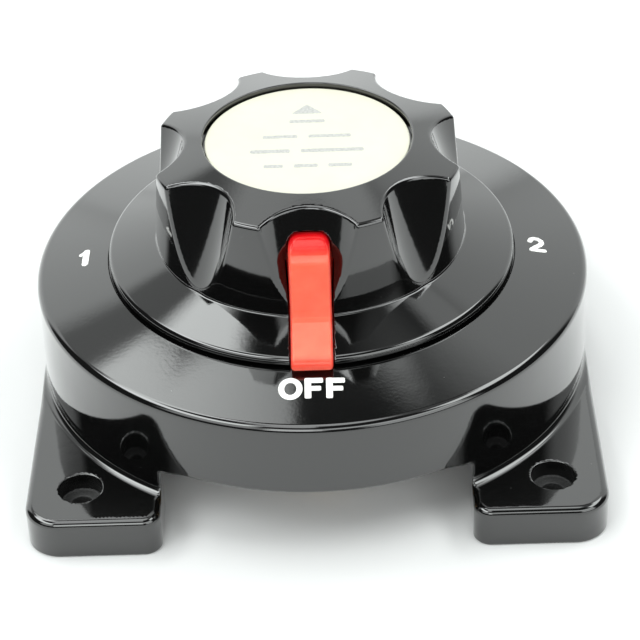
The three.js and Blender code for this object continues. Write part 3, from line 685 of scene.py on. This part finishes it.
def marks_off(x, y):
    o = stroke(oval(-5.0, -54.9, 2.05, 2.52), 0.69, x, y)
    f1 = np.minimum(rbox2(x + 1.07, y + 54.85, 0.76, 3.0, 0.35), np.minimum(rbox2(x - 0.25, y + 52.62, 2.1, 0.72, 0.35), rbox2(x - 0.05, y + 54.95, 1.85, 0.68, 0.35)))
    f2 = np.minimum(rbox2(x - 3.75, y + 54.92, 0.76, 3.0, 0.35), np.minimum(rbox2(x - 5.13, y + 52.70, 2.14, 0.72, 0.35), rbox2(x - 4.93, y + 55.05, 1.9, 0.68, 0.35)))
    return np.minimum(o, np.minimum(f1, f2))


def marks_one(x, y):
    return np.minimum(stroke([(-54.9, 1.85), (-54.95, -3.3)], 0.82, x, y), stroke([(-54.8, 1.95), (-56.2, 0.75)], 0.55, x, y))


def marks_two(x, y):
    return stroke([(53.15, 0.45), (53.45, 1.25), (54.2, 1.75), (55.1, 1.65), (55.85, 1.0), (56.0, 0.1), (55.5, -0.85), (54.5, -1.75), (53.5, -2.85), (53.35, -3.15), (54.3, -3.2), (56.35, -3.15)], 0.63, x, y)


def marks_all(x, y):
    a = np.minimum(stroke([(-6.6, 52.0), (-4.5, 58.0), (-2.4, 52.0)], 0.72, x, y), stroke([(-5.9, 54.0), (-3.1, 54.0)], 0.6, x, y))
    l1 = stroke([(0.2, 58.0), (0.2, 52.2), (2.6, 52.2)], 0.72, x, y)
    l2 = stroke([(4.4, 58.0), (4.4, 52.2), (6.8, 52.2)], 0.72, x, y)
    return np.minimum(a, np.minimum(l1, l2))


def on_ring(a, b, c):
    return a, b, ring_z(np.hypot(a, b)) + c


def marks(shape, x0, x1, y0, y1, step=0.11):
    def field(x, y, z):
        h = (z - ring_z(np.hypot(x, y))) * 0.984
        return cap(shape(x, y), np.abs(h - 0.01) - 0.10, 0.07)
    return nets(field, lines((x0, x1, step)), lines((y0, y1, step)), np.array([-0.2, -0.13, -0.05, 0.03, 0.085, 0.15, 0.22]), on_ring, False, 4, 0.1)


# -------------------------------------------------------- turned and threaded
def turned_data(field, A, C, n=96):
    return nets(field, A, np.arange(n) * (2 * math.pi / n), C)


def hexagon(x, y, across, turn):
    t = math.radians(turn)
    d = None
    for k in range(3):
        a = t + k * math.pi / 3 + math.pi / 6
        q = np.abs(x * math.cos(a) + y * math.sin(a)) - across / 2
        d = q if d is None else cap(d, q, 0.12)
    return d


PITCH = 1.5875


def thread(x, y, z, crest, depth):
    a = np.arctan2(y, x) / (2 * math.pi)
    p = z / PITCH - a
    w = np.abs(p - np.round(p)) * 2          # 0 at the crest, 1 at the root
    return (np.hypot(x, y) - crest + depth * np.clip((w - 0.12) / 0.76, 0, 1)) * 0.72


def stud_field(x, y, z):
    r = np.hypot(x, y)
    rod = cap(thread(x, y, z, 4.7, 0.85), 1.5 - z, 0.3)
    taper = (r - 3.9 - (z - 1.5)) * 0.7071
    rod = np.maximum(rod, taper)
    rod = np.maximum(rod, z - 26)
    head = cap(r - 7.2, np.maximum(25.1 - z, z - 28.4), 0.6)
    return np.minimum(rod, head)


def nut_field(z0, z1, turn):
    def field(x, y, z):
        r = np.hypot(x, y)
        h = hexagon(x, y, 14.3, turn)
        mid, half = (z0 + z1) / 2, (z1 - z0) / 2
        h = cap(h, np.abs(z - mid) - half, 0.1)
        h = np.maximum(h, (np.abs(z - mid) - half + (r - 7.0) * 0.577) * 0.866)
        bore = np.minimum(r - 5.0, (r - 5.0 - 0.7 + (half - np.abs(z - mid))) * 0.7071)
        return cut(h, bore, 0.05)
    return field


def washer_field(r0, r1, z0, z1, edge, split=None):
    def field(x, y, z):
        r = np.hypot(x, y)
        f = cap(rbox2(r - (r0 + r1) / 2, z - (z0 + z1) / 2, (r1 - r0) / 2, (z1 - z0) / 2, edge), np.full_like(r, -99.0), 0.01)
        if split is not None:
            t = math.radians(split)
            u, v = x * math.cos(t) + y * math.sin(t), -x * math.sin(t) + y * math.cos(t)
            gap = np.maximum(np.abs(v * 0.82 + (z - (z0 + z1) / 2) * 0.57) - 0.6, -u)
            f = cut(f, gap, 0.1)
        return f
    return field


def screw_field(x, y, z):          # pan head below, cross recess
    r = np.hypot(x, y)
    dome = np.sqrt(r * r + (z - 19.2) ** 2) - 4.25
    head = cap(np.maximum(dome, r - 3.55), z - 17.2, 0.15)
    shank = cap(thread(x, y, z * 1.3, 1.95, 0.3), z - 31.0, 0.3)
    shank = np.maximum(shank, 16.6 - z)
    body = np.minimum(head, shank)
    slot = np.minimum(np.maximum(np.abs(x) - 0.45, np.abs(y) - 2.0), np.maximum(np.abs(y) - 0.45, np.abs(x) - 2.0))
    return cut(body, np.maximum(slot, z - 16.3), 0.06)


def board_field(x, y, z):
    r = np.hypot(x, y)
    b = cap(r - 61.5, np.abs(z - 20.0) - 2.5, 0.45)
    for sx, sy in ((-37.0, 0.0), (37.0, 0.0), (0.0, -37.0)):
        b = cut(b, np.hypot(x - sx, y - sy) - 5.1, 0.2)
    b = cut(b, np.hypot(np.abs(x) - 36.77, np.abs(y) - 36.77) - 2.3, 0.2)
    return cut(b, np.maximum(r - 4.8, 18.8 - z), 0.2)


def label_field(x, y, z):
    return rbox2(np.hypot(x, y), z - 68.4, 24.2, 0.4, 0.22)


def label_print(x, y):
    d = None
    rows = [(14.2, [(-4.2, 4.2)]), (7.4, [(-10.5, -2.2), (0.2, 10.3)]), (1.0, [(-13.4, -4.0), (-1.6, 13.2)]), (-5.6, [(-10.2, -5.6), (-3.2, 2.4), (4.8, 10.4)]), ]
    for yy, bars in rows:
        for x0, x1 in bars:
            q = rbox2(x - (x0 + x1) / 2, y - yy + 5.6, (x1 - x0) / 2, 0.75, 0.5)
            d = q if d is None else np.minimum(d, q)
    tri = poly([(-3.2, -16.6), (3.2, -16.6), (0.0, -13.0)], x, y - 29.0) - 0.3
    return np.minimum(d, tri)


def print_data():
    def field(x, y, z):
        return cap(label_print(x, y), np.abs(z - 68.8) - 0.035, 0.02)
    return nets(field, lines((-14.6, 14.6, 0.18)), lines((-13.4, 18.6, 0.18)), np.array([68.7, 68.78, 68.82, 68.9]), straight, False, 3, 0.05)


# ------------------------------------------------------------------ pieces
def build():
    piece("case_body", "housing", BLACK_CASE, ["case", "flange_left", "flange_right"], case_data())
    piece("knob_body", "selector", BLACK_KNOB, "knob", knob_data())
    piece("pointer", "selector", RED, "pointer_insert", pointer_data())
    piece("label", "selector", IVORY, "label_disc",
          turned_data(label_field, lines((0, 22.6, 2.0), (22.6, 24.6, 0.16)), lines((67.85, 68.95, 0.1)), 160))
    piece("label_bars", "selector", GREY_INK, None, print_data())
    piece("mark_off", "housing", WHITE_INK, None, marks(marks_off, -8.2, 7.7, -58.4, -51.4))
    piece("mark_1", "housing", WHITE_INK, None, marks(marks_one, -57.2, -53.7, -4.5, 3.1))
    piece("mark_2", "housing", WHITE_INK, None, marks(marks_two, 52.1, 57.4, -4.3, 2.9))
    piece("mark_all", "housing", WHITE_INK, None, marks(marks_all, -7.8, 7.9, 51.0, 59.2))
    piece("board", "housing", LAMINATE, "terminal_board",
          turned_data(board_field, lines((0, 4.2, 1.4), (4.2, 5.4, 0.4), (5.4, 29.4, 2.4), (29.4, 45.0, 0.75), (45.0, 48.8, 1.2), (48.8, 55.2, 0.64), (55.2, 60.4, 1.3), (60.4, 61.9, 0.2)),
                      lines((17.2, 18.4, 0.2), (18.4, 19.2, 0.4), (19.2, 21.8, 1.3), (21.8, 22.8, 0.2)), 320))
    # hardware
    studs = {"1": (-37.0, 0.0), "2": (37.0, 0.0), "common": (0.0, -37.0)}
    stud = turned_data(stud_field, lines((0, 3.4, 1.2), (3.4, 5.1, 0.17), (5.1, 6.5, 0.7), (6.5, 7.5, 0.25)),
                       lines((1.2, 25.0, 0.2), (25.0, 28.8, 0.24)), 64)
    clamp = turned_data(nut_field(14.2, 17.2, 10), lines((4.7, 6.2, 0.25), (6.2, 8.6, 0.2)), lines((13.9, 15.2, 0.16), (15.2, 16.2, 0.5), (16.2, 17.5, 0.16)), 120)
    nut = turned_data(nut_field(2.6, 8.1, 22), lines((4.7, 6.2, 0.25), (6.2, 8.6, 0.2)), lines((2.3, 3.7, 0.16), (3.7, 7.0, 0.66), (7.0, 8.4, 0.16)), 120)
    flat = turned_data(washer_field(5.1, 9.6, 10.5, 11.7, 0.2), lines((4.8, 5.6, 0.16), (5.6, 9.0, 1.1), (9.0, 9.9, 0.15)), lines((10.3, 11.9, 0.16)), 96)
    lock = turned_data(washer_field(5.1, 8.2, 8.4, 10.2, 0.25, 60), lines((4.8, 5.6, 0.16), (5.6, 7.6, 0.5), (7.6, 8.5, 0.15)), lines((8.2, 10.4, 0.2)), 160)
    for key, (sx, sy) in studs.items():
        shift = np.array([sx, sy, 0.0])
        for label, node, slot, mat, (P, Q, N) in (
                ("stud_", "terminal_stud_", "copper", COPPER, stud), ("jam_nut_", "clamp_nut_", "brass", BRASS, clamp),
                ("lug_nut_", "terminal_nut_", "brass", BRASS, nut), ("washer_", "flat_washer_", "plated_steel", STEEL, flat),
                ("split_washer_", "lock_washer_", "spring_steel", SPRING, lock)):
            piece(label + key, "housing", mat, node + key, (P + shift, Q, N))
    P, Q, N = turned_data(screw_field, lines((0, 2.4, 0.16), (2.4, 3.0, 0.3), (3.0, 3.8, 0.16)), lines((14.7, 17.5, 0.15), (17.5, 31.3, 0.28)), 64)
    for i in range(4):
        a = math.radians(45 + 90 * i)
        piece(f"cover_screw_{i + 1}", "housing", STEEL, f"board_screw_{i + 1}",
              (P + np.array([52.0 * math.cos(a), 52.0 * math.sin(a), 0]), Q, N))


def inner_finish():
    """Material for each CAD node that is kept."""
    slots = {s["node"]: s["material_slot"] for s in frame["record"]["subparts"]}
    for name, slot in slots.items():
        ob = bpy.data.objects.get(name)
        if ob is None or ob.type != "MESH":
            continue
        mat = BY_SLOT[slot]
        if not ob.material_slots:
            ob.data.materials.append(mat)
        for s in ob.material_slots:
            s.material = mat


build()
inner_finish()

# ------------------------------------------------------------ studio and floor
bpy.ops.mesh.primitive_plane_add(size=1)
floor = bpy.context.object
floor.name = "floor"
floor.scale = (1.0, 1.0, 1)
fmat, fnt, fb, fmm = tree_of("pale_floor")
fnt.links.new(ramp(fnt, noise(fnt, fmm, 0.004, 2), [(0.3, grey(0.74)), (0.7, grey(0.76))]), fb.inputs["Base Color"])
fb.inputs["Roughness"].default_value = 0.7
floor.data.materials.append(fmat)


def area(name, place, target, size, power, colour=(1, 1, 1)):
    data = bpy.data.lights.new(name, "AREA")
    data.shape = "RECTANGLE"
    data.size, data.size_y = size
    data.energy = power
    data.color = colour
    ob = bpy.data.objects.new(name, data)
    scene.collection.objects.link(ob)
    ob.location = place
    ob.rotation_euler = (Vector(target) - Vector(place)).to_track_quat("-Z", "Y").to_euler()
    return ob


world = bpy.data.worlds.new("studio")
scene.world = world
world.use_nodes = True
wt = world.node_tree
bg = wt.nodes["Background"]
coord = wt.nodes.new("ShaderNodeTexCoord")
split = wt.nodes.new("ShaderNodeSeparateXYZ")
wt.links.new(coord.outputs["Generated"], split.inputs[0])


def part(op, a, b=None, c=None):
    n = wt.nodes.new("ShaderNodeMath")
    n.operation = op
    for i, v in enumerate((a, b, c)):
        if isinstance(v, (int, float)):
            n.inputs[i].default_value = v
        elif v is not None:
            wt.links.new(v, n.inputs[i])
    return n.outputs[0]


def step(v, at, soft):
    n = wt.nodes.new("ShaderNodeMapRange")
    n.interpolation_type = "SMOOTHSTEP"
    n.inputs["From Min"].default_value = at - soft
    n.inputs["From Max"].default_value = at + soft
    wt.links.new(v, n.inputs["Value"])
    return n.outputs["Result"]


def band(v, lo, hi, soft):
    return part("MULTIPLY", step(v, lo, soft), part("SUBTRACT", 1.0, step(v, hi, soft)))


wx, wy, wz = split.outputs
turn = part("MULTIPLY", part("ARCTAN2", wx, wy), 180 / math.pi)      # 0 at the back, 90 at the right
rise = part("MULTIPLY", part("ARCSINE", wz), 180 / math.pi)
# white backdrop behind, softboxes at the left and right, small lights beside the camera
PANELS = [
    # turn from, to, soft; rise from, to, soft; level
    (-18, 14, 3, -6, 56.2, 1.6, 1.40),
    (10, 62, 8, -6, 53, 6.0, 1.08),
    (-58, -14, 5, -6, 39.5, 3.0, 1.42),
    (-62, -27, 3, 50.5, 75, 3.0, 4.9),
    (-150, -60, 5, 44, 60, 3.0, 6.6),
    (-140, -60, 10, 76, 92, 4, 2.2),
    (-190, 190, 1, 76, 95, 4, 2.8),
    (-181, -136, 6, 60, 80, 4, 2.6),
    (-158, -118, 6, 20, 44, 5, 2.0),
    (42, 118, 5, 44, 61, 3, 5.2),
    (20, 120, 16, 60, 92, 6, 0.4),
    (118, 160, 6, 6, 27, 4, 2.4),
    (-181, -160, 4, 17, 40, 3, 4.2),
    (177, 181, 3, 17, 40, 3, 4.2),
    (118, 178, 4, 27, 42, 4, 3.2),
    (26, 44, 3, 50, 57.5, 2, 1.05),
    (-58, -18, 4, 38, 52, 2, 0.55),
]
level = part("ADD", 0.05, 0.0)
# the inner end of the left softbox is cut off along a slant
low = part("MULTIPLY_ADD", turn, 0.40, 59.2)
low = part("SUBTRACT", low, part("MULTIPLY", part("MAXIMUM", part("SUBTRACT", -20.0, turn), 0.0), 2.2))
low = part("MAXIMUM", low, 45.5)
slant = part("MULTIPLY", band(turn, -29, -4.6, 1.3), part("MULTIPLY", step(part("SUBTRACT", rise, low), 0.0, 1.3), part("SUBTRACT", 1.0, step(rise, 61.5, 1.6))))
level = part("MAXIMUM", level, part("MULTIPLY", slant, part("MULTIPLY_ADD", turn, -0.098, 1.45)))
for t0, t1, ts, r0, r1, rs, strength in PANELS:
    on = part("MULTIPLY", band(turn, t0, t1, ts), band(rise, r0, r1, rs))
    level = part("MAXIMUM", level, part("MULTIPLY", on, strength))
seen = wt.nodes.new("ShaderNodeLightPath").outputs["Is Camera Ray"]
level = part("ADD", part("MULTIPLY", level, part("SUBTRACT", 1.0, seen)), part("MULTIPLY", seen, 1.08))
wt.links.new(level, bg.inputs["Strength"])
bg.inputs["Color"].default_value = (0.965, 1.0, 0.99, 1)
scene.view_settings.view_transform = "Standard"
scene.view_settings.look = "None"
